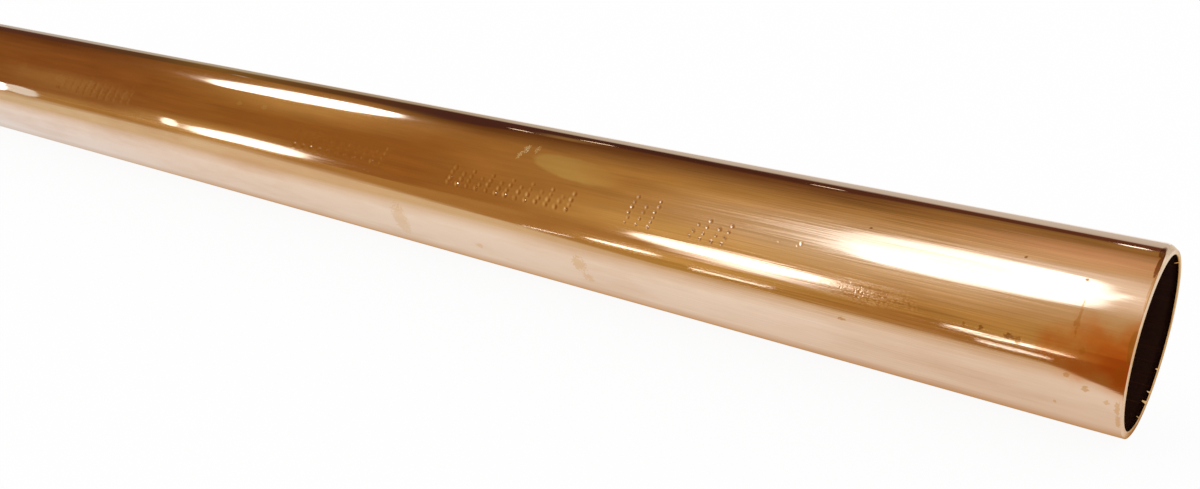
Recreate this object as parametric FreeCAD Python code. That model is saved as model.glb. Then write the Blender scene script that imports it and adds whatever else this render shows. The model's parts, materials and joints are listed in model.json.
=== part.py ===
"""A straight length of copper pipe, cut to length with a wheel cutter.

One drawn piece: a thin round wall with an open bore. At each end the cutter's wheel
has rolled the outer edge in and raised a small lip into the bore.

Millimetres. +X runs along the pipe and +Z is up. The origin lies under the middle of
the pipe, on the surface that it rests on.
"""

import FreeCAD
import Part

import os

Vector = FreeCAD.Vector

# Driving dimensions
OUTSIDE_DIAMETER = 28.0
WALL_THICKNESS = 0.9
PIPE_LENGTH = 1000.0

# Cut ends: how far each edge is bent in, and over how much of the pipe
EDGE_ROLL_DEPTH = 0.6
EDGE_ROLL_RUN = 1.2
LIP_HEIGHT = 0.2
LIP_RUN = 1.2

# Sizes that follow
OUTER_RADIUS = OUTSIDE_DIAMETER / 2
BORE_RADIUS = OUTER_RADIUS - WALL_THICKNESS
HALF_LENGTH = PIPE_LENGTH / 2
RIM_OUTER_RADIUS = OUTER_RADIUS - EDGE_ROLL_DEPTH
RIM_INNER_RADIUS = BORE_RADIUS - LIP_HEIGHT

# The pipe lies on its side, so its axis is one radius above the origin.
PIPE_AXIS_POINT = Vector(0, 0, OUTER_RADIUS)
PIPE_AXIS = Vector(1, 0, 0)


def profile_point(along, radius):
    """A point of the wall's section: a place along the pipe, and a distance from its axis."""
    return PIPE_AXIS_POINT + Vector(along, 0, radius)


def line(start, end):
    return Part.LineSegment(profile_point(*start), profile_point(*end)).toShape()


def bent_edge(straight_end, tip):
    """The arc that leaves the straight wall at straight_end, without a corner, and bends in to tip."""
    run = tip[0] - straight_end[0]
    depth = straight_end[1] - tip[1]
    bend_radius = (run**2 + depth**2) / (2 * depth)
    centre = Vector(straight_end[0], straight_end[1] - bend_radius, 0)
    chord_middle = Vector((straight_end[0] + tip[0]) / 2, (straight_end[1] + tip[1]) / 2, 0)
    crown = centre + (chord_middle - centre).normalize() * bend_radius
    return Part.Arc(
        profile_point(*straight_end), profile_point(crown.x, crown.y), profile_point(*tip)
    ).toShape()


def cut_end(side):
    """The edges of one cut end, from the outer wall round the rim to the bore. side is 1 or -1."""
    end = side * HALF_LENGTH
    outer_wall_end = (end - side * EDGE_ROLL_RUN, OUTER_RADIUS)
    rim_outer = (end, RIM_OUTER_RADIUS)
    rim_inner = (end, RIM_INNER_RADIUS)
    bore_wall_end = (end - side * LIP_RUN, BORE_RADIUS)
    return [
        bent_edge(outer_wall_end, rim_outer),
        line(rim_outer, rim_inner),
        bent_edge(bore_wall_end, rim_inner),
    ]


def wall_section():
    """The wall's section on one side of the axis, as a closed face."""
    roll_start = HALF_LENGTH - EDGE_ROLL_RUN
    lip_start = HALF_LENGTH - LIP_RUN
    outer_wall = line((-roll_start, OUTER_RADIUS), (roll_start, OUTER_RADIUS))
    bore_wall = line((-lip_start, BORE_RADIUS), (lip_start, BORE_RADIUS))
    edges = [outer_wall, *cut_end(1), bore_wall, *cut_end(-1)]
    return Part.Face(Part.Wire(Part.__sortEdges__(edges)))


def copper_pipe():
    """The pipe: its wall's section turned once about its axis."""
    return wall_section().revolve(PIPE_AXIS_POINT, PIPE_AXIS, 360)


def main():
    os.makedirs("parts", exist_ok=True)
    pipe = copper_pipe()
    pipe.exportStep("parts/copper_pipe.step")
    print(f"copper_pipe: {pipe.ShapeType}, valid {pipe.isValid()}, {pipe.Volume:.1f} mm3")


main()
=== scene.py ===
"""The looks of a straight length of copper pipe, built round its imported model.

A place on the pipe is given by two coordinates:
    along   distance from the cut end that the camera sees
    turn    degrees round the pipe: 0 faces -Y, the camera's side, and 90 is the top
The mesh has along in metres. The materials have it in millimetres, and so have the lists
of marks, spots and cards.
"""

import json
import math
from collections import namedtuple
from functools import partial, reduce

import bpy
import numpy as np
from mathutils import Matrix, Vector


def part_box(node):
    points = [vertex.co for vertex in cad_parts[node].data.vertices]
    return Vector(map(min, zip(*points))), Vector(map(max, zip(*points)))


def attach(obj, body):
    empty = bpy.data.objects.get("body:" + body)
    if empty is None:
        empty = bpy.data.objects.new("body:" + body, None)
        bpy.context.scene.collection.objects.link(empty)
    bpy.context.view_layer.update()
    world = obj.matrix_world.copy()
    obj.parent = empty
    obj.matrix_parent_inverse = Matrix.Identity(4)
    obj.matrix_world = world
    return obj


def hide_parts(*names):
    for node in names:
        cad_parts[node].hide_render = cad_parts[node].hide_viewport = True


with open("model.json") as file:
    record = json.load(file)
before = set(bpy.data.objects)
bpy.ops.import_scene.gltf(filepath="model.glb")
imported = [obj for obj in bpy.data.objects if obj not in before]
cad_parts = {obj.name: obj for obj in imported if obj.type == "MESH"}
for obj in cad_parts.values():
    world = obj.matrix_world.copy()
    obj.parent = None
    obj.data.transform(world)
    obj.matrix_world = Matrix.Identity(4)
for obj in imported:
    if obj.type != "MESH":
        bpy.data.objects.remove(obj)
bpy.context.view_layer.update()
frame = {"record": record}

MM = 0.001

# Sizes of the pipe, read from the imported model
mounts = {mount["name"]: mount for mount in frame["record"]["mounts"]}
outside = mounts["near_end_outside"]
HALF_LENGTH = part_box("copper_pipe")[1].x
PIPE_LENGTH = 2 * HALF_LENGTH
AXIS_HEIGHT = outside["pos_m"][2]
OUTER_RADIUS = outside["dims"]["r_mm"] * MM
BORE_RADIUS = mounts["bore"]["dims"]["r_mm"] * MM
EDGE_RUN = HALF_LENGTH - outside["pos_m"][0]
DEGREES_PER_METRE = math.degrees(1 / OUTER_RADIUS)

# Camera, placed from the middle of the near cut end
CAMERA_FROM_END = Vector((0.02225, -0.1623, 0.0676))
CAMERA_AZIMUTH = math.radians(36.0)
CAMERA_PITCH = math.radians(23.9)
CAMERA_LENS = 34.36
CAMERA_SENSOR = 36.0
CAMERA_SHIFT_Y = 0.063
CAMERA_CLIP_START = 0.01
CAMERA_PLACE = Vector((HALF_LENGTH, 0, AXIS_HEIGHT)) + CAMERA_FROM_END

# Mesh columns round the pipe, with the seam underneath
COLUMNS = 256
SEAM_TURN = -90.0
COLUMN_WIDTH = 360 / COLUMNS
TURNS = SEAM_TURN + COLUMN_WIDTH * np.arange(COLUMNS)

# Mesh rows: start, end and step of those near each end, in the part that the photo shows and beyond it
END_STATIONS = (2 * MM, 14.5 * MM, 0.8 * MM)
SHOWN_STATIONS = (15 * MM, 301 * MM, 5 * MM)
BEYOND_STATIONS = (350 * MM, PIPE_LENGTH - 15 * MM, 50 * MM)
BORE_MARGIN = 20 * MM
BORE_STATIONS = np.linspace(PIPE_LENGTH - BORE_MARGIN, BORE_MARGIN, 10)
# Edges that bend more than this are shaded as edges.
SHARP_EDGE = math.radians(38)

# Cut ends: mesh rows over each form
ROLL_STEPS = 10
ROUND_STEPS = 4
LIP_STEPS = 6
# The cutter has squeezed the wall in behind the cut.
NECK_RUN = 9 * MM
NECK_DEPTH = 0.03 * MM
# Its wheel has rolled the edge in, most at the top.
ROLL_RUN, TOP_ROLL_RUN = 0.14 * MM, 1.4 * MM
ROLL_DEPTH, TOP_ROLL_DEPTH = 0.26 * MM, 0.75 * MM
TOP_ROLL_TURN, TOP_ROLL_HALF = 120, 62
# How the roll bends: 1 is a straight bevel, and 2 an arc
ROLL_BEND = 1.4
# Share of the rolled edge that still has the outside's looks
ROLL_TARNISHED = 0.25
# The wall stays straight up to this close to the roll.
ROLL_START = 0.06 * MM
# The burr that stands into the bore, highest at the top, and its rounded edge
LIP_HEIGHT, LIP_SWING = 0.37 * MM, 0.13 * MM
LIP_ROUND = 0.16 * MM
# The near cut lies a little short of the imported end, and out of square.
CUT_BACK = 0.3 * MM
SKEW = 0.2 * MM
SKEW_TURN = 40
SKEW_RUN = 40 * MM

# A row of vertices round the pipe: one value for all of them, or one for each
Row = namedtuple("Row", "along radius")


def lobe(turn, centre, half_width):
    """1 at centre, falling smoothly to 0 half_width degrees either side."""
    away = np.abs((turn - centre + 180) % 360 - 180)
    return 0.5 + 0.5 * np.cos(np.pi * np.clip(away / half_width, 0, 1))


def skewed(along, turn):
    """Places along the pipe, with the near end's cut a little out of square."""
    lag = CUT_BACK + SKEW * (0.5 + 0.5 * np.cos(np.radians(turn - SKEW_TURN)))
    return along + lag * np.clip(1 - along / SKEW_RUN, 0, 1)


def pipe_points(along, turn, radius):
    """Points in the frame, from pipe coordinates and distances from the axis."""
    angle = np.radians(turn)
    x = HALF_LENGTH - along
    y = -radius * np.cos(angle)
    z = AXIS_HEIGHT + radius * np.sin(angle)
    return np.stack(np.broadcast_arrays(x, y, z), axis=-1)


def grid_faces(rows, columns, closed=False):
    """Faces between rows of vertices. closed joins each row's last vertex to its first."""
    faces = []
    for i in range(rows - 1):
        for j in range(columns if closed else columns - 1):
            n = (j + 1) % columns
            faces.append((i * columns + j, i * columns + n, (i + 1) * columns + n, (i + 1) * columns + j))
    return faces


def linked(name, data):
    """A new object in the scene."""
    made = bpy.data.objects.new(name, data)
    bpy.context.scene.collection.objects.link(made)
    return made


# Node helpers

def connect(node, key, value):
    """Gives an input another node's output, a number, or a colour without its alpha."""
    socket = node.inputs[key]
    if isinstance(value, bpy.types.NodeSocket):
        node.id_data.links.new(value, socket)
    elif socket.type == "RGBA":
        socket.default_value = (*value, 1)
    else:
        socket.default_value = value


def add_node(tree, kind, inputs=None, **settings):
    made = tree.nodes.new(kind)
    for name, value in settings.items():
        setattr(made, name, value)
    for key, value in (inputs or {}).items():
        connect(made, key, value)
    return made


def tree_of(*values):
    """The node tree of the first output among values."""
    return next(value.id_data for value in values if isinstance(value, bpy.types.NodeSocket))


def maths(operation, first, second=0.0):
    tree = tree_of(first, second)
    return add_node(tree, "ShaderNodeMath", {0: first, 1: second}, operation=operation).outputs[0]


def combined(operation, *values):
    """One operation over all the values, from the left."""
    return reduce(partial(maths, operation), values)


total = partial(combined, "ADD")
difference = partial(combined, "SUBTRACT")
product = partial(combined, "MULTIPLY")
largest = partial(combined, "MAXIMUM")


def step(value, low, high, start=0.0, end=1.0):
    """start below low, end above high, and a smooth change between them."""
    inputs = {"Value": value, "From Min": low, "From Max": high, "To Min": start, "To Max": end}
    made = add_node(value.id_data, "ShaderNodeMapRange", inputs, interpolation_type="SMOOTHSTEP")
    return made.outputs["Result"]


def step_product(value, fades):
    return product(*(step(value, *fade) for fade in fades))


def mixed(factor, first, second, blend="MIX"):
    tree = tree_of(factor, first, second)
    made = add_node(tree, "ShaderNodeMix", data_type="RGBA", blend_type=blend)
    for key, value in ((0, factor), (6, first), (7, second)):
        connect(made, key, value)
    return made.outputs[2]


def multiplied(first, second):
    return mixed(1.0, first, second, "MULTIPLY")


def bumped(height, distance, normal=None):
    """A surface normal tilted by a height, on top of another normal where there is one."""
    inputs = {"Strength": 1.0, "Distance": distance, "Height": height}
    if normal is not None:
        inputs["Normal"] = normal
    return add_node(height.id_data, "ShaderNodeBump", inputs).outputs[0]


def colour_ramp(value, stops):
    """Colours that change with a value, from (value, colour) pairs."""
    tree = value.id_data
    low, high = stops[0][0], stops[-1][0]
    share = add_node(tree, "ShaderNodeMapRange", {"Value": value, "From Min": low, "From Max": high})
    made = add_node(tree, "ShaderNodeValToRGB", {0: share.outputs["Result"]})
    elements = made.color_ramp.elements
    while len(elements) < len(stops):
        elements.new(0.5)
    for element, (place, colour) in zip(elements, stops):
        element.position = (place - low) / (high - low)
        element.color = (*colour, 1)
    return made.outputs["Color"]


def new_material(name):
    material = bpy.data.materials.new(name)
    material.use_nodes = True
    material.node_tree.nodes.clear()
    return material, material.node_tree


def finish_material(material, kind, inputs):
    """Adds a material's last shader, and returns the material."""
    tree = material.node_tree
    shader = add_node(tree, kind, inputs)
    add_node(tree, "ShaderNodeOutputMaterial", {"Surface": shader.outputs[0]})
    return material


# Punched marks: rows of dotted ticks, worn shallow towards the far end, and clusters of small nicks.
# fine is the steps of a mark's mesh to each face of the plain wall, along the pipe and round it.

Tally = namedtuple("Tally", "along turn strokes spacing height depth radius dirt fine")
TALLIES = (
    Tally(62.5, 21.6, 4, 2.0, 3.2, 0.09, 0.30, 1.0, (38, 3)),
    Tally(76.5, 21.4, 3, 2.3, 4.6, 0.085, 0.30, 0.7, (38, 3)),
    Tally(93.5, 20.5, 13, 2.3, 2.9, 0.08, 0.42, 0.0, (24, 2)),
    Tally(139.0, 22.5, 11, 2.5, 3.0, 0.065, 0.50, 0.0, (16, 2)),
    Tally(223.0, 23.5, 11, 2.9, 4.0, 0.032, 0.60, 0.0, (12, 2)),
)
Nicks = namedtuple("Nicks", "along turn half_along half_turn count depth radius dirt fine")
NICKS = (
    Nicks(38.0, 12.4, 3.6, 4.0, 30, 0.022, 0.13, 0.15, (70, 6)),
    Nicks(50.5, 33.0, 3.6, 2.0, 4, 0.02, 0.2, 0.0, (50, 4)),
)
MARKS_SEED = 7
# Room round the marks in the finer mesh that carries them
MARKS_MARGIN = 0.8
# Ticks: the spacing of their dots, how far dots stray, the lean, and the size of every other tick
DOT_SPACING = 0.95
DOT_JITTER = 0.08
TICK_LEAN = 1.1
SHORT_TICK = 0.7
# Share of the depth that a tick loses towards its upper end
TICK_FADE = 0.4
# Ranges of the depths and radii, as shares of the mark's own, and how widely nicks scatter
DOT_DEPTHS, DOT_RADII = (0.5, 1.2), (0.8, 1.2)
NICK_DEPTHS, NICK_RADII = (0.4, 1.2), (0.7, 1.4)
NICK_SCATTER = 0.5
# A dot's hollow and raised collar, in radii of the dot, and how steeply each falls away
HOLLOW_FALL = 2.2
COLLAR_HEIGHT = 0.1
COLLAR_RADIUS = 1.35
COLLAR_FALL = 9
# Where dirt and painted shade lie in a hollow, in radii of the dot along the pipe and up: set off from
# the middle, so each dot is painted darker towards the far end and up
PIT_DIRT_AND_SHADE_SHIFT = (0.35, 0.4)

Dot = namedtuple("Dot", "along turn depth radius dirt")


def tally_dots(tally, draw):
    """The dots of one row of ticks, every other tick shorter."""
    dots = []
    for k in range(tally.strokes):
        height = tally.height * (SHORT_TICK if k % 2 else 1.0)
        steps = round(height / DOT_SPACING)
        for i in range(steps + 1):
            rise = i / steps
            along = tally.along + k * tally.spacing - TICK_LEAN * rise + draw.normal(0, DOT_JITTER)
            up = height * rise + draw.normal(0, DOT_JITTER)
            depth = tally.depth * (1 - TICK_FADE * rise) * draw.uniform(*DOT_DEPTHS)
            turn = tally.turn + up * MM * DEGREES_PER_METRE
            radius = tally.radius * draw.uniform(*DOT_RADII)
            dots.append(Dot(along * MM, turn, depth * MM, radius * MM, tally.dirt))
    return dots


def nick_dots(nicks, draw):
    """A cluster of small nicks, thickest in its middle."""
    dots = []
    for _ in range(nicks.count):
        across, up = np.clip(draw.normal(0, NICK_SCATTER, 2), -1, 1)
        along = nicks.along + across * nicks.half_along
        turn = nicks.turn + up * nicks.half_turn
        depth = nicks.depth * draw.uniform(*NICK_DEPTHS)
        radius = nicks.radius * draw.uniform(*NICK_RADII)
        dots.append(Dot(along * MM, turn, depth * MM, radius * MM, nicks.dirt))
    return dots


def dent(along, turn, dots):
    """How far dots push the wall in, and how dark they are: round hollows with low raised collars,
    holding dirt that is set off to one side as painted shade.
    """
    sunk = np.zeros(np.broadcast(along, turn).shape)
    pit = np.zeros_like(sunk)
    for dot in dots:
        across = (along - dot.along) / dot.radius
        up = (turn - dot.turn) / DEGREES_PER_METRE / dot.radius
        away = np.hypot(across, up)
        hollow = np.exp(-(away**2) * HOLLOW_FALL)
        collar = COLLAR_HEIGHT * np.exp(-((away - COLLAR_RADIUS) ** 2) * COLLAR_FALL)
        sunk += dot.depth * (hollow - collar)
        # The dark middle is set off from the dot's, painting one side of the dot darker as shade.
        from_dark_middle = np.hypot(across - PIT_DIRT_AND_SHADE_SHIFT[0], up - PIT_DIRT_AND_SHADE_SHIFT[1])
        pit += dot.dirt * np.exp(-(from_dark_middle**2) * HOLLOW_FALL)
    return sunk, np.minimum(pit, 1)


# Pipe mesh

def neck(along):
    """How far the cutter has squeezed the wall in near a cut end."""
    distance = np.minimum(along, PIPE_LENGTH - along)
    return NECK_DEPTH * np.clip(1 - distance / NECK_RUN, 0, 1) ** 2


def bent(run, depth, share):
    """A point of an arc from a straight wall in by depth: its distance from the end, and its drop."""
    radius = (run**2 + depth**2) / (2 * depth)
    angle = share * np.arcsin(run / radius)
    return run - radius * np.sin(angle), radius * (1 - np.cos(angle))


def lip_heights(turn):
    """How far the burr stands into the bore."""
    return LIP_HEIGHT + LIP_SWING * np.sin(np.radians(turn))


def end_rows():
    """Rows over a cut end, from the outer wall round the rim into the bore, and the zones between."""
    top = lobe(TURNS, TOP_ROLL_TURN, TOP_ROLL_HALF)
    roll_run = ROLL_RUN + (TOP_ROLL_RUN - ROLL_RUN) * top
    roll_depth = ROLL_DEPTH + (TOP_ROLL_DEPTH - ROLL_DEPTH) * top
    lip_height = lip_heights(TURNS)
    lip_radius = BORE_RADIUS - lip_height
    rows = [Row(roll_run + ROLL_START, OUTER_RADIUS)]
    zones = ["outside"]
    for share in np.linspace(0, 1, ROLL_STEPS + 1):
        rows.append(Row(roll_run * (1 - share), OUTER_RADIUS - roll_depth * share**ROLL_BEND))
        zones.append("outside" if share < ROLL_TARNISHED else "rim")
    for share in np.linspace(0, 1, ROUND_STEPS + 1):
        angle = share * math.pi / 2
        back = LIP_ROUND * (1 - math.cos(angle))
        rows.append(Row(back, lip_radius + LIP_ROUND * (1 - math.sin(angle))))
        zones.append("rim")
    for share in np.linspace(1, 0, LIP_STEPS + 1)[1:]:
        distance, drop = bent(EDGE_RUN - LIP_ROUND, lip_height, share)
        rows.append(Row(LIP_ROUND + distance, BORE_RADIUS - drop))
        zones.append("bore")
    return rows, zones[:-1]


def wall_stations():
    """Places of the outer wall's rows, closest where the camera is near."""
    spans = (END_STATIONS, SHOWN_STATIONS, BEYOND_STATIONS)
    near, shown, beyond = (np.arange(*span) for span in spans)
    return np.concatenate([near, shown, beyond, PIPE_LENGTH - near[::-1]])


# Slivers of burr in the near mouth: degrees, and a length in millimetres
Flake = namedtuple("Flake", "turn half_width length")
FLAKES = (
    Flake(131.7, 1.0, 0.65),
    Flake(-140.8, 0.8, 0.4),
    Flake(-123.2, 0.8, 0.5),
    Flake(-114.4, 1.4, 0.65),
    Flake(-98.6, 0.8, 0.45),
)
FLAKE_INSET = 0.03 * MM
FLAKE_LIFT = 0.45
FLAKE_THICKNESS = 0.08 * MM
FLAKE_TAPER = 0.4
# Parts of the surface, in the order of their materials
ZONES = ("outside", "rim", "bore")
PIPE_MAP = "PipeMap"


class PipeMesh:
    """Vertices, faces and maps of the pipe, as they are put together."""

    def __init__(self):
        self.along = []
        self.turn = []
        self.radius = []
        self.pit = []
        self.faces = []
        self.zones = []
        self.splits = {}

    def add_vertices(self, along, turn, radius, pit=0.0):
        """Adds vertices from arrays and returns the first one's number."""
        first = len(self.along)
        values = np.broadcast_arrays(along, turn, radius, pit)
        for store, value in zip((self.along, self.turn, self.radius, self.pit), values):
            store.extend(value.ravel().tolist())
        return first

    def add_face(self, corners, zone):
        self.faces.append(corners)
        self.zones.append(ZONES.index(zone))

    def split_edge(self, start, end, between):
        """Notes the vertices that a finer neighbour puts on an edge."""
        self.splits[start, end] = between
        self.splits[end, start] = between[::-1]

    def with_splits(self, corners):
        """A face's corners, with the vertices that lie on its edges."""
        result = []
        for start, end in zip(corners, (*corners[1:], corners[0])):
            result.append(start)
            result.extend(self.splits.get((start, end), ()))
        return result


def section_rows(stations):
    """Rows once round the wall's section, and the zone that follows each."""
    rows = [Row(along, OUTER_RADIUS - neck(along)) for along in stations]
    zones = ["outside"] * len(rows)
    ends, end_zones = end_rows()
    squeezed = [Row(row.along, row.radius - neck(row.along)) for row in ends]
    rows += [Row(PIPE_LENGTH - row.along, row.radius) for row in squeezed]
    zones += [*end_zones, "bore"]
    rows += [Row(along, BORE_RADIUS) for along in BORE_STATIONS]
    zones += ["bore"] * len(BORE_STATIONS)
    rows += squeezed[::-1]
    zones += [*end_zones[::-1], "outside"]
    return rows, zones


Window = namedtuple("Window", "low_row high_row low_column high_column")


def marked_window(dots, stations):
    """The rows and columns of the plain wall that dots lie in."""
    margin = MARKS_MARGIN * MM
    turn_margin = margin * DEGREES_PER_METRE
    alongs = [dot.along for dot in dots]
    turns = [dot.turn for dot in dots]
    return Window(
        np.searchsorted(stations, min(alongs) - margin) - 1,
        np.searchsorted(stations, max(alongs) + margin),
        math.floor((min(turns) - turn_margin - SEAM_TURN) / COLUMN_WIDTH),
        math.ceil((max(turns) + turn_margin - SEAM_TURN) / COLUMN_WIDTH),
    )


def join_window(pipe, window, numbers, fine):
    """Gives a window's grid the plain wall's vertices, and splits the plain edges round it."""
    fine_along, fine_round = fine
    rows = np.arange(window.low_row, window.high_row + 1)
    columns = np.arange(window.low_column, window.high_column + 1)
    numbers[::fine_along, ::fine_round] = rows[:, None] * COLUMNS + columns
    borders = [(numbers[k].tolist(), fine_round) for k in (0, -1)]
    borders += [(numbers[:, k].tolist(), fine_along) for k in (0, -1)]
    for border, steps in borders:
        for k in range(0, len(border) - 1, steps):
            pipe.split_edge(border[k], border[k + steps], border[k + 1:k + steps])


def add_marked_window(pipe, window, dots, stations, fine):
    """Fills a window of the outer wall with a finer grid that carries dots."""
    fine_along, fine_round = fine
    rows = (window.high_row - window.low_row) * fine_along
    columns = (window.high_column - window.low_column) * fine_round
    row_numbers = window.low_row + np.arange(rows + 1) / fine_along
    along = np.interp(row_numbers, np.arange(len(stations)), stations)[:, None]
    column_numbers = window.low_column + np.arange(columns + 1) / fine_round
    turn = SEAM_TURN + column_numbers[None, :] * COLUMN_WIDTH
    sunk, pit = dent(along, turn, dots)
    first = pipe.add_vertices(along, turn, OUTER_RADIUS - neck(along) - sunk, pit)
    numbers = first + np.arange(sunk.size).reshape(sunk.shape)
    join_window(pipe, window, numbers, fine)
    flat = numbers.ravel().tolist()
    for face in grid_faces(*sunk.shape):
        pipe.add_face([flat[corner] for corner in face], "outside")


def add_marks(pipe, stations):
    """Adds the windows that carry marks, and returns the plain faces that they stand in for."""
    draw = np.random.default_rng(MARKS_SEED)
    marks = [(tally_dots(tally, draw), tally.fine) for tally in TALLIES]
    marks += [(nick_dots(nicks, draw), nicks.fine) for nicks in NICKS]
    replaced = set()
    for dots, fine in marks:
        window = marked_window(dots, stations)
        add_marked_window(pipe, window, dots, stations, fine)
        rows = range(window.low_row, window.high_row)
        columns = range(window.low_column, window.high_column)
        replaced |= {(i, j) for i in rows for j in columns}
    return replaced


def add_plain_wall(pipe, zones, replaced):
    """Adds the faces between the rows, apart from those that windows stand in for."""
    for i, zone in enumerate(zones):
        below = (i + 1) % len(zones)
        for j in range(COLUMNS):
            if (i, j) in replaced:
                continue
            n = (j + 1) % COLUMNS
            corners = (i * COLUMNS + j, i * COLUMNS + n, below * COLUMNS + n, below * COLUMNS + j)
            pipe.add_face(pipe.with_splits(corners), zone)


def add_flake(pipe, flake):
    """A sliver of burr that leans from the near end's lip into the bore: a closed, tapered plate."""
    lip = BORE_RADIUS - lip_heights(flake.turn)
    length = flake.length * MM
    first = len(pipe.along)
    for along, rise, spread in ((FLAKE_INSET, 0, 1), (length, FLAKE_LIFT * length, FLAKE_TAPER)):
        for layer, side in ((0, -1), (0, 1), (1, 1), (1, -1)):
            turn = flake.turn + side * spread * flake.half_width
            pipe.add_vertices(along, turn, lip - rise + layer * FLAKE_THICKNESS)
    faces = [(3, 2, 1, 0), (4, 5, 6, 7)]
    faces += [(k, (k + 1) % 4, (k + 1) % 4 + 4, k + 4) for k in range(4)]
    for face in faces:
        pipe.add_face([first + corner for corner in face], "rim")


def map_places(faces, along, turn):
    """Along and turn at the corners of the faces, with no jump in a face that crosses the seam."""
    places = []
    for face in faces:
        turns = turn[face]
        crosses_seam = np.ptp(turns) > 180
        turns = np.where(crosses_seam & (turns < 0), turns + 360, turns)
        places.append(np.stack([along[face], turns / 360], axis=1))
    return np.concatenate(places).astype(np.float32).ravel()


def finished_mesh(pipe):
    """An object of the vertices in use, with a map of pipe coordinates and the dirt and painted shade in
    the hollows.
    """
    along, turn, radius = (np.array(values) for values in (pipe.along, pipe.turn, pipe.radius))
    vertices = pipe_points(skewed(along, turn), turn, radius)
    used = np.zeros(len(vertices), bool)
    used[[corner for face in pipe.faces for corner in face]] = True
    renumber = np.cumsum(used) - 1
    faces = [[int(renumber[corner]) for corner in face] for face in pipe.faces]
    mesh = bpy.data.meshes.new("pipe")
    mesh.from_pydata(vertices[used].tolist(), [], faces)
    mesh.polygons.foreach_set("material_index", pipe.zones)
    layer = mesh.uv_layers.new(name=PIPE_MAP)
    layer.data.foreach_set("uv", map_places(pipe.faces, along, turn))
    pits = mesh.attributes.new("pit", "FLOAT", "POINT")
    pits.data.foreach_set("value", np.array(pipe.pit, np.float32)[used])
    mesh.shade_smooth()
    mesh.set_sharp_from_angle(angle=SHARP_EDGE)
    mesh.update()
    return linked("pipe", mesh)


def build_pipe():
    stations = wall_stations()
    rows, zones = section_rows(stations)
    pipe = PipeMesh()
    for row in rows:
        pipe.add_vertices(row.along, TURNS, row.radius)
    replaced = add_marks(pipe, stations)
    add_plain_wall(pipe, zones, replaced)
    for flake in FLAKES:
        add_flake(pipe, flake)
    return finished_mesh(pipe)


# Copper

COPPER = (0.85, 0.615, 0.455)
TARNISH = (0.66, 0.39, 0.22)
ORANGE_TINT = (0.80, 0.31, 0.105)
DEEP_ORANGE = (0.76, 0.225, 0.062)
STAIN = (0.64, 0.31, 0.06)
DARK_STAIN = (0.28, 0.11, 0.035)
PIT_BROWN = (0.28, 0.11, 0.022)
FILM = (0.98, 0.89, 0.71)
CUT_COPPER = (0.87, 0.71, 0.58)
CUT_TARNISH = (0.66, 0.42, 0.18)
CUT_EDGE_TINT = (0.95, 0.86, 0.74)
BORE_DARK = (0.045, 0.014, 0.008)
BORE_WORN = (0.10, 0.033, 0.018)

# Noise in the metal: features to the metre along the pipe and across it, and how fine and rough they get
Grain = namedtuple("Grain", "lengthwise across detail roughness", defaults=(0.5,))
FINE_LINES = Grain(60, 4800, 2)
LINES = Grain(14, 1300, 3)
SWELL = Grain(16, 130, 1)
BLOTCHES = Grain(28, 170, 4)
FLECKS = Grain(170, 620, 4)
SCUFFS = Grain(2200, 3200, 3)
RAGGED_EDGES = Grain(2600, 2600, 4)
RAGGED_AMOUNT = 1.7
WANDERING_EDGES = Grain(260, 260, 3)
WANDERING_AMOUNT = 0.8
CUT_MARKS = Grain(2500, 2500, 3)
BORE_LINES = Grain(40, 2200, 4, 0.6)

# Smooth changes over a range of along, turn or noise, from a start to an end
Fade = namedtuple("Fade", "low high start end", defaults=(0.0, 1.0))
# Where rubbing has drawn the lines out, and where grime lies in them
RUBBED_ALONG = (Fade(3, 25, 0.2, 1.0), Fade(35, 100, 1.0, 0.2))
RUBBED_TURN = (Fade(-14, 8, 0.3, 1.0), Fade(74, 82, 1.0, 0.1))
GRIMY_TURN = Fade(56, 72)
GRIMY_ALONG = Fade(40, 85, 1.0, 0.0)
DULL_FINE_LINES = Fade(0.4, 0.62)
DULL_LINES = Fade(0.5, 0.7)
# Tarnish from each noise
BLOTCH_DIRT = Fade(0.4, 0.75, 0.0, 0.45)
LINE_DIRT = 0.1
FLECK_DIRT = 0.22
GRIMY_FINE_DIRT = 1.2
GRIMY_LINE_DIRT = 0.8
SCUFF_DIRT = 2.0
# Brightness of the fine lines, and its share where grime lies
STREAK_DEPTH = 0.36
GRIMY_STREAKS = 0.8
# Strength of a stain from which it is dark
DARKENING = Fade(0.45, 0.8)
PIT_COVER = 0.95
# Roughness by turn, and what blotches and each kind of wear add
BASE_ROUGHNESS = Fade(74, 84, 0.06, 0.045)
BLOTCH_ROUGHNESS = 0.03
WEAR_ROUGHNESS = {
    "dull_lines": 0.11,
    "smear": 0.05,
    "spots": 0.06,
    "scratches": 0.2,
    "scuffed": 0.05,
    "pit": 0.25,
}
DRAWN_ANISOTROPY = 0.4
# Heights of the bumps, and the scuffs' height as a share of the fine lines'
SWELL_HEIGHT = 0.1 * MM
LINE_HEIGHT = 0.01 * MM
FINE_HEIGHT = 0.006 * MM
SCUFF_SHARE = 0.7
# The cut: the turns that are behind and below, dirt, roughness by noise, and height of its marks
CUT_BEHIND = (Fade(90, 130), Fade(290, 260))
CUT_BELOW = Fade(-55, -80)
CUT_DIRT = 0.5
CUT_ROUGHNESS = Fade(0.3, 0.7, 0.18, 0.34)
CUT_HEIGHT = 0.005 * MM
# The bore: worn lines and roughness by noise, and height of the lines
BORE_WEAR = Fade(0.52, 0.72)
BORE_ROUGHNESS = Fade(0.3, 0.7, 0.5, 0.35)
BORE_METALLIC = 0.6
BORE_HEIGHT = 0.02 * MM

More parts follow.
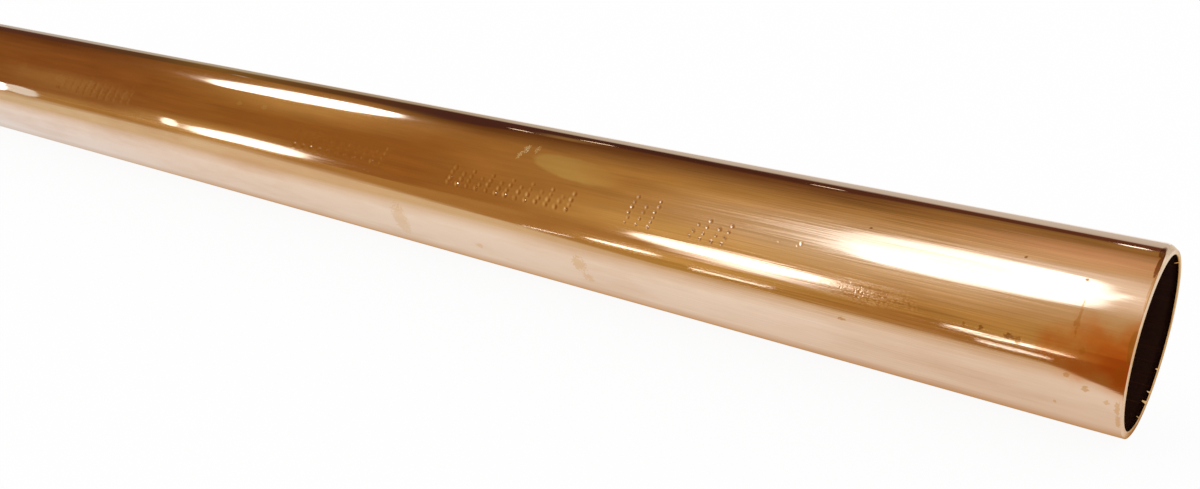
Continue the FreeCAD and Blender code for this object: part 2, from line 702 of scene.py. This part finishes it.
# Spots are ragged ovals. The core of a spot, a share of its size, has its full strength.
Spot = namedtuple("Spot", "along turn half_along half_turn strength core", defaults=(0.45,))
SPOTS = (
    Spot(16.0, 7.8, 0.8, 2.2, 0.72),
    Spot(14.8, 7.2, 0.65, 2.6, 0.64),
    Spot(20.0, 8.9, 0.4, 1.8, 0.7),
    Spot(22.5, 8.7, 0.25, 1.6, 0.6),
    Spot(40.9, -7.4, 0.7, 1.4, 0.6),
    Spot(7.7, -6.0, 0.45, 2.2, 0.55),
    Spot(5.0, -12.5, 0.6, 2.2, 0.55),
    Spot(8.9, -28.2, 0.25, 1.8, 0.5),
    Spot(39.8, 53.2, 0.35, 0.9, 0.8),
    Spot(16.9, 55.2, 0.3, 0.9, 0.8),
    Spot(8.1, 49.0, 0.3, 0.9, 0.8),
    Spot(7.7, 23.7, 0.5, 2.4, 0.55),
    Spot(7.6, 27.0, 0.22, 11.0, 0.55),
    Spot(6.2, 9.6, 0.5, 2.0, 0.5),
    Spot(2.1, -18.2, 0.4, 2.0, 0.45),
    Spot(0.7, -21.2, 0.45, 6.0, 0.5),
    Spot(0.5, -32.2, 0.4, 7.0, 0.5),
    Spot(134.5, -23.0, 2.2, 18.0, 0.3),
    Spot(114.5, -28.0, 1.0, 3.0, 0.35),
    Spot(90.6, -19.0, 1.7, 7.0, 0.36),
    Spot(89.3, -31.0, 1.3, 5.0, 0.32),
    Spot(1.0, 1.0, 0.9, 7.0, 0.4),
)
# Dark line behind the rolled edge, less ragged than the other stains
EDGE_STAIN_RAGGED = 0.2
EDGE_STAINS = (
    Spot(0.3, 18.0, 0.7, 12.0, 0.6),
    Spot(0.2, 50.0, 0.35, 14.0, 0.5),
    Spot(0.45, 70.0, 0.4, 13.0, 0.9),
    Spot(0.85, 83.0, 0.45, 9.0, 0.85),
)
SCRATCHES = (
    Spot(107.5, 53.5, 0.6, 4.5, 1.0),
    Spot(106.8, 60.0, 0.6, 5.0, 1.0),
    Spot(104.6, 61.5, 0.5, 4.0, 0.8),
    Spot(185.0, 46.5, 1.0, 2.5, 0.5),
    Spot(177.0, 47.5, 1.0, 2.5, 0.5),
    Spot(252.0, 33.0, 2.2, 4.5, 0.3),
    Spot(239.5, 34.5, 2.0, 3.5, 0.25),
    Spot(224.5, 30.0, 1.8, 5.0, 0.25),
    Spot(269.5, 37.0, 2.2, 4.5, 0.25),
)
# A film with a slanted left edge, in millimetres to the degree, which fades to the right
SMEAR = Spot(94.0, 50.5, 10.5, 11.0, 1.0, 0.6)
SMEAR_RAGGED = 0.35
SMEAR_SLANT = 0.3
SMEAR_FADE = Fade(83, 99)
# Scuffed metal round the larger cluster of nicks
SCUFF = Spot(37.5, 12.0, 10.5, 8.0, 1.0, 0.1)
# Orange-red tint by the near end, and its deeper middle
ORANGE_PATCH = Spot(-1.0, 9.0, 15.0, 26.0, 0.9, 0.0)
DEEP_ORANGE_SPOT = Spot(0.0, 7.0, 4.5, 15.0, 0.75, 0.2)
DEEP_ORANGE_RAGGED = 1.6

Noises = namedtuple("Noises", "fine_lines lines swell blotches flecks scuffs ragged wandering")
Wear = namedtuple("Wear", "rubbed dull_lines grimy smear scratches scuffed heat deep_heat spots pit")


def pipe_coordinates(tree):
    """Sockets for along, in millimetres, and turn, in degrees."""
    uv = add_node(tree, "ShaderNodeUVMap", uv_map=PIPE_MAP)
    parts = add_node(tree, "ShaderNodeSeparateXYZ", {0: uv.outputs[0]})
    return product(parts.outputs[0], 1 / MM), product(parts.outputs[1], 360.0)


def noise(tree, grain):
    place = add_node(tree, "ShaderNodeTexCoord").outputs["Object"]
    scale = (grain.lengthwise, grain.across, grain.across)
    vector = add_node(tree, "ShaderNodeMapping", {"Vector": place, "Scale": scale}).outputs[0]
    inputs = {"Vector": vector, "Scale": 1.0, "Detail": grain.detail, "Roughness": grain.roughness}
    return add_node(tree, "ShaderNodeTexNoise", inputs).outputs[0]


def centred(value, amount):
    """Noise moved to swing amount either side of zero."""
    return product(difference(value, 0.5), 2 * amount)


def patch(along, turn, spot, ragged):
    """A spot's strength inside its core, falling to 0 at its ragged edge."""
    across = product(difference(along, spot.along), 1 / spot.half_along)
    up = product(difference(turn, spot.turn), 1 / spot.half_turn)
    away = total(product(across, across), product(up, up), ragged)
    return step(away, spot.core, 1.0, spot.strength, 0.0)


def patches(along, turn, spots, ragged):
    return largest(*(patch(along, turn, spot, ragged) for spot in spots))


def copper_noises(tree):
    grains = (FINE_LINES, LINES, SWELL, BLOTCHES, FLECKS, SCUFFS)
    ragged = centred(noise(tree, RAGGED_EDGES), RAGGED_AMOUNT)
    wandering = centred(noise(tree, WANDERING_EDGES), WANDERING_AMOUNT)
    return Noises(*(noise(tree, grain) for grain in grains), ragged, wandering)


def film_smear(along, turn, wandering):
    slant = product(difference(turn, SMEAR.turn), SMEAR_SLANT)
    slanted = difference(along, slant)
    film = patch(slanted, turn, SMEAR, product(wandering, SMEAR_RAGGED))
    return product(film, step(slanted, *SMEAR_FADE))


def stain_spots(along, turn, ragged):
    edge_ragged = product(ragged, EDGE_STAIN_RAGGED)
    edge_stains = patches(along, turn, EDGE_STAINS, edge_ragged)
    return largest(patches(along, turn, SPOTS, ragged), edge_stains)


def copper_wear(tree, along, turn, noises):
    """How much there is of each kind of wear and tint, and of the hollows' dirt with its painted shade.
    """
    ragged, wandering = noises.ragged, noises.wandering
    rubbed = product(step_product(along, RUBBED_ALONG), step_product(turn, RUBBED_TURN))
    dull_fine_lines = step(noises.fine_lines, *DULL_FINE_LINES)
    dull_lines = total(dull_fine_lines, step(noises.lines, *DULL_LINES))
    deep_ragged = product(wandering, DEEP_ORANGE_RAGGED)
    return Wear(
        rubbed=rubbed,
        dull_lines=product(dull_lines, rubbed),
        grimy=product(step(turn, *GRIMY_TURN), step(along, *GRIMY_ALONG)),
        smear=film_smear(along, turn, wandering),
        scratches=patches(along, turn, SCRATCHES, ragged),
        scuffed=patch(along, turn, SCUFF, wandering),
        heat=patch(along, turn, ORANGE_PATCH, wandering),
        deep_heat=patch(along, turn, DEEP_ORANGE_SPOT, deep_ragged),
        spots=stain_spots(along, turn, ragged),
        # Dirt in the hollows, with painted shade on one side of each dot
        pit=add_node(tree, "ShaderNodeAttribute", attribute_name="pit").outputs["Fac"],
    )


def tarnished_copper(noises, wear):
    """Copper with tarnish, and with lines that rubbing and grime have drawn out."""
    dirt = total(
        step(noises.blotches, *BLOTCH_DIRT),
        centred(noises.lines, LINE_DIRT),
        centred(noises.flecks, FLECK_DIRT),
        product(centred(noises.fine_lines, GRIMY_FINE_DIRT), wear.grimy),
        product(centred(noises.lines, GRIMY_LINE_DIRT), wear.grimy),
        product(centred(noises.scuffs, SCUFF_DIRT), wear.scuffed),
    )
    streaked = total(wear.rubbed, product(wear.grimy, GRIMY_STREAKS))
    streaks = product(centred(noises.fine_lines, STREAK_DEPTH), streaked)
    return multiplied(mixed(dirt, COPPER, TARNISH), total(1.0, streaks))


def copper_colour(noises, wear):
    """Tarnished copper under film, orange-red tints, stains, and the dirt of the hollows with its painted
    shade.
    """
    stain = mixed(step(wear.spots, *DARKENING), STAIN, DARK_STAIN)
    covers = (
        (largest(wear.smear, wear.scratches), FILM),
        (wear.heat, ORANGE_TINT),
        (wear.deep_heat, DEEP_ORANGE),
        (wear.spots, stain),
        # Dirt of the hollows, with painted shade on one side of each dot
        (product(wear.pit, PIT_COVER), PIT_BROWN),
    )
    colour = tarnished_copper(noises, wear)
    for cover, cover_colour in covers:
        colour = mixed(cover, colour, cover_colour)
    return colour


def copper_roughness(turn, noises, wear):
    return total(
        step(turn, *BASE_ROUGHNESS),
        centred(noises.blotches, BLOTCH_ROUGHNESS),
        *(product(getattr(wear, kind), amount) for kind, amount in WEAR_ROUGHNESS.items()),
    )


def copper_normal(noises, wear):
    fine_lines = product(noises.fine_lines, wear.rubbed)
    scuffs = product(noises.scuffs, wear.scuffed, SCUFF_SHARE)
    normal = bumped(noises.swell, SWELL_HEIGHT)
    normal = bumped(noises.lines, LINE_HEIGHT, normal)
    return bumped(total(fine_lines, scuffs), FINE_HEIGHT, normal)


def outside_material():
    """Drawn copper with lengthwise lines, worn and stained."""
    material, tree = new_material("drawn_copper")
    along, turn = pipe_coordinates(tree)
    noises = copper_noises(tree)
    wear = copper_wear(tree, along, turn, noises)
    tangent = add_node(tree, "ShaderNodeTangent", direction_type="RADIAL", axis="X")
    looks = {
        "Base Color": copper_colour(noises, wear),
        "Metallic": 1.0,
        "Roughness": copper_roughness(turn, noises, wear),
        "Anisotropic": DRAWN_ANISOTROPY,
        "Tangent": tangent.outputs[0],
        "Normal": copper_normal(noises, wear),
    }
    return finish_material(material, "ShaderNodeBsdfPrincipled", looks)


def rim_material():
    """The cut, with fine marks of the cutter, bright in front and dirty behind."""
    material, tree = new_material("cut_copper")
    _, turn = pipe_coordinates(tree)
    marks = noise(tree, CUT_MARKS)
    behind = largest(step_product(turn, CUT_BEHIND), step(turn, *CUT_BELOW))
    dirt = total(behind, centred(marks, CUT_DIRT))
    looks = {
        "Base Color": mixed(dirt, CUT_COPPER, CUT_TARNISH),
        "Metallic": 1.0,
        "Roughness": step(marks, *CUT_ROUGHNESS),
        "Specular Tint": CUT_EDGE_TINT,
        "Normal": bumped(marks, CUT_HEIGHT),
    }
    return finish_material(material, "ShaderNodeBsdfPrincipled", looks)


def bore_material():
    """Oxidised copper with reddish draw lines."""
    material, tree = new_material("dark_bore")
    lines = noise(tree, BORE_LINES)
    worn = step(lines, *BORE_WEAR)
    looks = {
        "Base Color": mixed(worn, BORE_DARK, BORE_WORN),
        "Metallic": BORE_METALLIC,
        "Roughness": step(lines, *BORE_ROUGHNESS),
        "Normal": bumped(lines, BORE_HEIGHT),
    }
    return finish_material(material, "ShaderNodeBsdfPrincipled", looks)


# Studio: what only the pipe's reflections see

WALL_BROWN = (0.50, 0.31, 0.095)
SHADE_TINT = (0.25, 0.15, 0.18)
ROOM_RADIUS = 2.5
ROOM_ENDS = (-14.0, 1.6)
ROOM_STEPS = 20
# Angles in the room run from the horizon in front, over the top, to the horizon behind.
ROOM_ANGLES = (-10, 190)
ROOM_ANGLE_STEP = 3
# Brightness of the wall along the pipe, by x in metres
WALL_LEVELS = (
    (-4.0, (0.51, 0.33, 0.26)),
    (-3.6, (0.53, 0.35, 0.27)),
    (-3.0, (0.62, 0.47, 0.33)),
    (-2.0, (0.62, 0.44, 0.29)),
    (-1.3, (0.86, 0.80, 0.72)),
    (-0.9, (1.0, 1.0, 1.0)),
    (0.5, (1.0, 1.0, 1.0)),
    (1.1, (0.6, 0.4, 0.35)),
    (1.25, (0.6, 0.42, 0.38)),
    (1.6, (1.6, 2.3, 5.5)),
)
# How dark the wall gets overhead, by x in metres, and over which angles
SHADE_DEPTHS = (
    (-4.0, 0.6), (-3.4, 0.3), (-3.0, 0.0), (-2.5, 0.05), (-2.2, 0.35),
    (-1.95, 0.9), (-0.6, 0.9), (-0.3, 0.58), (0.2, 0.52),
)
SHADE_ANGLES = (88, 140)
# Lower and upper edge of a dark beam above the backdrop: (x in metres, degrees)
BEAM_LOW = (
    (-4.0, 138), (-2.3, 140), (-1.95, 131), (-1.75, 131),
    (-1.4, 145), (-0.6, 142), (-0.2, 146), (0.8, 146),
)
BEAM_HIGH = (
    (-4.0, 160), (-3.0, 162), (-1.9, 163), (-1.4, 160.3), (-0.6, 158.8), (0.2, 157), (0.8, 156),
)
# Softness of its edges, in degrees, and where it ends, in metres
BEAM_SOFT = 3
BEAM_END = Fade(0.9, 0.7)
# Colours of the beam and of the backdrop below it, by x in metres
BEAM_COLOURS = (
    (-4.0, (0.10, 0.04, 0.022)),
    (-3.4, (0.12, 0.06, 0.022)),
    (-3.0, (0.22, 0.125, 0.032)),
    (-2.35, (0.115, 0.055, 0.02)),
    (-1.9, (0.075, 0.028, 0.02)),
    (-1.0, (0.07, 0.026, 0.016)),
    (0.2, (0.13, 0.045, 0.022)),
)
BACKDROP_COLOURS = (
    (-3.8, (0.50, 0.47, 0.40)),
    (-3.0, (0.45, 0.40, 0.29)),
    (-2.4, (0.40, 0.33, 0.22)),
    (-1.9, (0.46, 0.40, 0.29)),
    (-1.4, (0.57, 0.54, 0.46)),
    (-0.6, (0.62, 0.59, 0.53)),
    (1.6, (0.66, 0.62, 0.57)),
)
# Colours of the wall that closes the room beyond the cut end, by z in metres
END_WALL_COLOURS = (
    (0.0, (0.75, 0.6, 0.38)),
    (0.15, (0.78, 0.64, 0.44)),
    (0.6, (0.98, 0.93, 0.87)),
    (2.5, (0.98, 0.95, 0.91)),
)
# Patchiness of the wall
MOTTLES_PER_METRE = 5.0
MOTTLES_PER_DEGREE = 0.1
MOTTLE_DEPTH = 0.3
MOTTLE_DETAIL = 3.0


def only_in_reflections(thing):
    for kind in ("camera", "diffuse", "shadow", "transmission"):
        setattr(thing, "visible_" + kind, False)


def new_object(name, vertices, faces, material):
    mesh = bpy.data.meshes.new(name)
    mesh.from_pydata([tuple(v) for v in vertices], [], faces)
    mesh.materials.append(material)
    return linked(name, mesh)


def place_parts(tree):
    """Sockets for a surface point's x, y and z."""
    place = add_node(tree, "ShaderNodeNewGeometry").outputs["Position"]
    return add_node(tree, "ShaderNodeSeparateXYZ", {0: place}).outputs


def glowing(material, colour):
    material.cycles.emission_sampling = "NONE"
    return finish_material(material, "ShaderNodeEmission", {"Color": colour, "Strength": 1.0})


def value_ramp(x, stops, scale=1.0):
    """A number that changes along x, from (x, number) pairs with no number over scale."""
    stops = [(place, (number / scale,) * 3) for place, number in stops]
    return product(colour_ramp(x, stops), scale)


def mottled(x, angle):
    """Patchy brightness about 1."""
    tree = x.id_data
    parts = {0: product(x, MOTTLES_PER_METRE), 1: product(angle, MOTTLES_PER_DEGREE)}
    place = add_node(tree, "ShaderNodeCombineXYZ", parts).outputs[0]
    inputs = {"Vector": place, "Scale": 1.0, "Detail": MOTTLE_DETAIL}
    mottles = add_node(tree, "ShaderNodeTexNoise", inputs).outputs[0]
    return total(1.0, centred(mottles, MOTTLE_DEPTH))


def room_material():
    """A brown wall in front and overhead, a dark beam, and a pale backdrop behind."""
    material, tree = new_material("room")
    x, y, z = place_parts(tree)
    height = difference(z, AXIS_HEIGHT)
    angle = maths("DEGREES", maths("ARCTAN2", height, product(y, -1.0)))
    wall = multiplied(WALL_BROWN, colour_ramp(x, WALL_LEVELS))
    wall = multiplied(wall, mottled(x, angle))
    shade = product(step(angle, *SHADE_ANGLES), value_ramp(x, SHADE_DEPTHS))
    wall = mixed(shade, wall, multiplied(wall, SHADE_TINT))
    over_low_edge, over_high_edge = (
        step(difference(angle, value_ramp(x, edge, 180)), -BEAM_SOFT, BEAM_SOFT)
        for edge in (BEAM_LOW, BEAM_HIGH)
    )
    in_beam = product(over_low_edge, step(x, *BEAM_END))
    colour = mixed(in_beam, wall, colour_ramp(x, BEAM_COLOURS))
    colour = mixed(over_high_edge, colour, colour_ramp(x, BACKDROP_COLOURS))
    return glowing(material, colour)


def build_end_wall(corners):
    material, tree = new_material("end_wall")
    _, _, z = place_parts(tree)
    glowing(material, colour_ramp(z, END_WALL_COLOURS))
    only_in_reflections(new_object("end_wall", corners, [tuple(range(len(corners)))], material))


def build_room():
    low, high = ROOM_ANGLES
    angles = np.radians(np.arange(low, high + 1, ROOM_ANGLE_STEP))
    stations = np.linspace(*ROOM_ENDS, ROOM_STEPS)
    arch = [(-ROOM_RADIUS * math.cos(a), AXIS_HEIGHT + ROOM_RADIUS * math.sin(a)) for a in angles]
    vertices = [(x, y, z) for x in stations for y, z in arch]
    room = new_object("room", vertices, grid_faces(len(stations), len(arch)), room_material())
    only_in_reflections(room)
    build_end_wall(vertices[-len(arch):])


TAN = (0.72, 0.59, 0.37)
# Colour of the ground under and in front of the pipe, by y in millimetres. From about -14 mm to 15 mm it
# is a painted shadow of the pipe, browned by painted light off the copper.
GROUND_AND_PAINTED_SHADOW_BANDS = (
    (-60, TAN),
    (-36, TAN),
    (-29, (0.84, 0.77, 0.66)),
    (-21, (0.95, 0.97, 0.96)),
    (-14, (0.89, 0.89, 0.87)),
    (-9.5, (0.86, 0.83, 0.77)),
    (-5.5, (0.61, 0.37, 0.17)),
    (0, (0.48, 0.27, 0.12)),
    (15, (0.7, 0.6, 0.5)),
)
# The same, with a paler painted shadow right under the pipe far from the cut end, less browned by painted
# light off the copper
FAR_GROUND_AND_PAINTED_SHADOW_BANDS = (
    *GROUND_AND_PAINTED_SHADOW_BANDS[:-4],
    (-9.5, (0.84, 0.82, 0.78)),
    (-5.5, (0.74, 0.68, 0.6)),
    (0, (0.62, 0.52, 0.44)),
    (15, (0.7, 0.6, 0.5)),
)
# Where one changes to the other, by x in metres
FAR_GROUND = (0.12, 0.36)
# Brightness of the ground along the pipe, by x in metres
GROUND_LEVELS = (
    (0.1, (0.97, 1.06, 1.22)),
    (0.25, (0.98, 1.03, 1.12)),
    (0.3, (0.96, 0.96, 0.97)),
    (0.35, (0.97, 1.0, 1.03)),
    (0.43, (0.98, 1.0, 1.02)),
    (0.47, (0.92, 0.895, 0.88)),
    (0.52, (0.92, 0.895, 0.88)),
)
GROUND_LIFT = 0.2 * MM
GROUND_ENDS = (-14.0, 0.65)
# Colour of the ground beyond the cut end, which its rim mirrors, by y in millimetres
END_GROUND_BANDS = (
    (-20, (0.82, 0.73, 0.65)),
    (5, (0.82, 0.72, 0.62)),
    (15, (0.74, 0.58, 0.38)),
    (33, (0.68, 0.52, 0.31)),
    (45, (0.92, 0.82, 0.69)),
    (60, (0.88, 0.88, 0.86)),
    (900, (0.88, 0.88, 0.86)),
)
END_GROUND_LIFT = 0.4 * MM
END_GROUND_ENDS = (0.0005, 1.1)
MAT_LIFT = 0.5 * MM
MAT_BROWN = (0.45, 0.26, 0.075)
# Brightness of the mat along the pipe, by x in metres
MAT_LEVELS = (
    (0.1, (0.95, 0.95, 0.95)),
    (0.375, (0.95, 0.92, 0.9)),
    (0.41, (1.2, 1.4, 1.3)),
    (0.445, (0.94, 0.9, 0.82)),
    (0.5, (0.75, 0.62, 0.5)),
)
# Edge of the mat, which lies on the ground in front: x in metres, y and the width of its soft border
# in millimetres
MAT_EDGE = (
    (-14.0, -56, 62),
    (0.06, -56, 62),
    (0.1475, -50, 60),
    (0.19, -80, 60),
    (0.27, -68, 28),
    (0.3275, -54, 9),
    (0.372, -44.5, 4),
    (0.411, -36, 2.5),
    (0.4675, -36, 2.5),
    (0.484, -35, 2),
    (0.494, -26.5, 1.5),
    (0.5, -21.5, 1.5),
    (0.6, -18, 1.5),
)


def level_sheet(name, sides, height, material):
    """A level sheet. sides is its left, right, near and far side."""
    left, right, near, far = sides
    vertices = [(x, y, height) for x, y in ((left, near), (right, near), (right, far), (left, far))]
    return new_object(name, vertices, [(0, 1, 2, 3)], material)


def build_ground():
    material, tree = new_material("ground")
    x, y, _ = place_parts(tree)
    y_mm = product(y, 1 / MM)
    # Both sets of bands end in a painted shadow of the pipe, under it.
    near = colour_ramp(y_mm, GROUND_AND_PAINTED_SHADOW_BANDS)
    far = colour_ramp(y_mm, FAR_GROUND_AND_PAINTED_SHADOW_BANDS)
    bands = mixed(step(x, *FAR_GROUND), far, near)
    glowing(material, multiplied(bands, colour_ramp(x, GROUND_LEVELS)))
    sides = (*GROUND_ENDS, -ROOM_RADIUS, GROUND_AND_PAINTED_SHADOW_BANDS[-1][0] * MM)
    only_in_reflections(level_sheet("ground", sides, GROUND_LIFT, material))


def build_end_ground():
    material, tree = new_material("end_ground")
    _, y, _ = place_parts(tree)
    glowing(material, colour_ramp(product(y, 1 / MM), END_GROUND_BANDS))
    left, right = (HALF_LENGTH + distance for distance in END_GROUND_ENDS)
    near, far = (END_GROUND_BANDS[k][0] * MM for k in (0, -1))
    sheet = level_sheet("end_ground", (left, right, near, far), END_GROUND_LIFT, material)
    only_in_reflections(sheet)


def fading(material, colour):
    """Light that lets what is behind show where the mesh's glow fades."""
    tree = material.node_tree
    glow = add_node(tree, "ShaderNodeAttribute", attribute_name="glow").outputs["Fac"]
    clear = add_node(tree, "ShaderNodeBsdfTransparent")
    light = add_node(tree, "ShaderNodeEmission", {"Color": colour, "Strength": 1.0})
    shares = {0: glow, 1: clear.outputs[0], 2: light.outputs[0]}
    return finish_material(material, "ShaderNodeMixShader", shares)


def build_fading(name, vertices, glow, faces, material):
    """An object for reflections that fades with its vertices' glow."""
    made = new_object(name, vertices, faces, material)
    made.data.attributes.new("glow", "FLOAT", "POINT").data.foreach_set("value", glow)
    only_in_reflections(made)


def build_mat():
    material, tree = new_material("mat")
    x, _, _ = place_parts(tree)
    fading(material, multiplied(MAT_BROWN, colour_ramp(x, MAT_LEVELS)))
    vertices, glow = [], []
    for place, edge, border in MAT_EDGE:
        for y in (edge * MM, (edge - border) * MM, -ROOM_RADIUS):
            vertices.append((place, y, MAT_LIFT))
        glow += [0, 1, 1]
    build_fading("mat", vertices, glow, grid_faces(len(MAT_EDGE), 3), material)


# Cards that the camera sees mirrored at a place on the pipe, distance in metres away from it.
# A squareness of 2 is an oval, and a card with an opacity under 1 is haze that fades out.
CARD_VALUES = "name along turn half_along half_turn distance light opacity squareness lean"
Card = namedtuple("Card", CARD_VALUES, defaults=(1, 2.5, 0))
LAMP = (3.4, 3.8, 4.1)
FAINT_LAMP = (2.6, 2.9, 3.1)
SOFT_LAMP = (2.1, 2.45, 2.75)
STREAK = (4.2, 4.8, 5.2)
PALE_LAMP = (0.85, 0.9, 0.9)
GOLD_LAMP = (1.8, 1.65, 1.3)
WHITE_HAZE = (1.0, 0.97, 0.8)
PINK_HAZE = (1.0, 0.94, 0.86)
WARM_HAZE = (1.12, 0.73, 0.55)
GOLD_HAZE = (0.85, 0.62, 0.22)
CARDS = (
    Card("ceiling_near", 23.8, 41.2, 20.2, 9.6, 2.0, SOFT_LAMP, 1, 4.5, -0.8),
    Card("ceiling_far", 170, 65.7, 31, 5.1, 2.0, LAMP, 1, 2.7, -1.6),
    Card("window_left", 180, 14.2, 20.5, 3.9, 1.0, LAMP, 1, 2.8),
    Card("window_left_tip", 206.2, 15.3, 3.2, 3.3, 0.06, FAINT_LAMP, 1, 2.4, 0.6),
    Card("window_right", 60.5, 14.6, 20, 2.6, 0.12, LAMP, 1, 2.3, 0.3),
    Card("window_under", 58, 10.4, 19, 2.7, 0.1, FAINT_LAMP, 0.7, 2.4, 0.8),
    Card("window_edge", 279, 11.0, 4, 4.0, 0.05, FAINT_LAMP, 1, 2.6),
    Card("window_edge_pale", 268.5, 11.3, 8.5, 3.8, 0.05, PALE_LAMP, 1, 2.8, 0.4),
    Card("low_streak", 16.4, 5.2, 9.6, 0.36, 0.045, STREAK, 1, 2.4),
    Card("low_streak_under", 15.5, 0.8, 5.5, 0.2, 0.02, STREAK, 1, 2.4),
    Card("low_left", 81, 4.3, 8, 0.4, 0.045, STREAK, 1, 2.4),
    Card("low_middle", 60, 1.3, 8, 0.4, 0.025, STREAK, 1, 2.4),
    Card("edge_streak", 97, 2.0, 6, 0.22, 0.03, FAINT_LAMP, 1, 2.4, -0.5),
    Card("beam_streak_a", 112, 80.2, 3, 0.6, 2.0, GOLD_LAMP, 1, 2),
    Card("beam_streak_b", 95, 83.0, 4, 0.5, 2.0, GOLD_LAMP, 1, 2),
    Card("beam_streak_c", 50, 82.5, 3, 0.3, 2.0, GOLD_LAMP, 1, 2),
    Card("beam_streak_d", 4.5, 82.3, 2.5, 0.6, 2.0, LAMP, 1, 2),
    Card("beam_streak_e", 193, 79.8, 4, 0.9, 2.0, PALE_LAMP, 0.9, 2),
    Card("end_gleam", 3.3, 42.5, 1.8, 1.2, 2.0, FAINT_LAMP, 1, 2.4, -2.5),
    Card("haze_near", 30, 39.5, 54, 27, 2.2, WHITE_HAZE, 0.5, 2.5, -4),
    Card("haze_end", -1, 45, 16, 15, 2.15, PINK_HAZE, 0.85),
    Card("haze_upper", 12, 51.5, 19, 4.5, 2.1, PINK_HAZE, 0.8),
    Card("haze_fade", 43, 40.5, 12, 9.5, 2.1, PINK_HAZE, 0.75),
    Card("haze_low", 14, 5.5, 15, 6, 0.06, GOLD_HAZE, 0.45),
    Card("haze_low_left", 73, 4, 28, 8, 0.05, GOLD_HAZE, 0.55),
    Card("haze_middle", 71, 21, 42, 12, 0.06, GOLD_HAZE, 0.42),
    Card("haze_top", 8, 65, 28, 13, 2.2, WARM_HAZE, 0.34),
    Card("haze_far", 165, 61, 52, 22, 2.2, GOLD_HAZE, 0.42),
    Card("haze_left", 192, 15, 50, 11, 0.05, GOLD_HAZE, 0.45),
    Card("haze_tan", 190, 1, 75, 6, 0.02, WHITE_HAZE, 0.25),
    Card("beam_glow", 102, 80.5, 9, 3.5, 2.1, GOLD_HAZE, 0.22),
    Card("haze_edge", 252, 28, 36, 16, 1.1, GOLD_HAZE, 0.2),
    Card("haze_edge_low", 245, 12, 45, 7, 1.05, GOLD_HAZE, 0.3),
)
CARD_RINGS = (0.0, 0.2, 0.4, 0.6, 0.75, 0.9, 1.0)
CARD_SIDES = 48


def mirrored(along, turn, distance):
    """The point, distance away, that the camera sees mirrored at a place on the pipe."""
    point = Vector(pipe_points(along, turn, OUTER_RADIUS))
    angle = math.radians(turn)
    normal = Vector((0, -math.cos(angle), math.sin(angle)))
    sight = (point - CAMERA_PLACE).normalized()
    return point + sight.reflect(normal) * distance


def card_glow(card, ring):
    """How much of a card shows at a ring: a lamp has an edge, and haze fades all the way out."""
    if card.opacity < 1:
        return card.opacity * (1 - ring**2) ** 2
    return float(ring < 1)


def card_material(card):
    material, _ = new_material(card.name)
    return fading(material, card.light)


def rounded(value, squareness):
    """A coordinate of a unit circle that is drawn out towards a square."""
    return math.copysign(abs(value) ** (2 / squareness), value)


def build_card(card):
    vertices, glow = [], []
    for ring in CARD_RINGS:
        for k in range(CARD_SIDES):
            angle = 2 * math.pi * k / CARD_SIDES
            across = ring * rounded(math.cos(angle), card.squareness)
            up = ring * rounded(math.sin(angle), card.squareness)
            along = (card.along + across * card.half_along) * MM
            turn = card.turn + up * card.half_turn + across * card.lean
            vertices.append(mirrored(along, turn, card.distance))
            glow.append(card_glow(card, ring))
    faces = grid_faces(len(CARD_RINGS), CARD_SIDES, closed=True)
    build_fading(card.name, vertices, glow, faces, card_material(card))


# Floor, world and camera

FLOOR_HALF = 8.0
PAPER_WHITE = (0.9, 0.9, 0.9)
WHITE = (1, 1, 1)
FLOOR_GLOW = 0.94


def floor_material():
    """White paper with the pipe's shadow, lifted to white for what the camera and the metal see."""
    material, tree = new_material("floor")
    path = add_node(tree, "ShaderNodeLightPath").outputs
    seen = largest(path["Is Camera Ray"], path["Is Glossy Ray"], path["Is Transmission Ray"])
    paper = add_node(tree, "ShaderNodeBsdfDiffuse", {"Color": PAPER_WHITE})
    white = add_node(tree, "ShaderNodeEmission", {"Color": WHITE, "Strength": 1.0})
    shares = {0: product(seen, FLOOR_GLOW), 1: paper.outputs[0], 2: white.outputs[0]}
    return finish_material(material, "ShaderNodeMixShader", shares)


def build_floor():
    sides = (-FLOOR_HALF, FLOOR_HALF, -FLOOR_HALF, FLOOR_HALF)
    level_sheet("floor", sides, 0, floor_material())


def build_world():
    world = bpy.data.worlds.new("studio")
    bpy.context.scene.world = world
    world.use_nodes = True
    tree = world.node_tree
    tree.nodes.clear()
    sky = add_node(tree, "ShaderNodeBackground", {"Color": WHITE, "Strength": 1.0})
    add_node(tree, "ShaderNodeOutputWorld", {"Surface": sky.outputs[0]})


def build_camera():
    lens = bpy.data.cameras.new("camera")
    lens.lens = CAMERA_LENS
    lens.sensor_width = CAMERA_SENSOR
    lens.shift_y = CAMERA_SHIFT_Y
    lens.clip_start = CAMERA_CLIP_START
    camera = linked("camera", lens)
    camera.location = CAMERA_PLACE
    camera.rotation_euler = (math.pi / 2 - CAMERA_PITCH, 0, CAMERA_AZIMUTH)
    bpy.context.scene.camera = camera


pipe = build_pipe()
for material in (outside_material(), rim_material(), bore_material()):
    pipe.data.materials.append(material)
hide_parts("copper_pipe")
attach(pipe, "root")

build_floor()
build_room()
build_ground()
build_end_ground()
build_mat()
for card in CARDS:
    build_card(card)
build_world()
build_camera()
bpy.context.scene.view_settings.view_transform = "Standard"
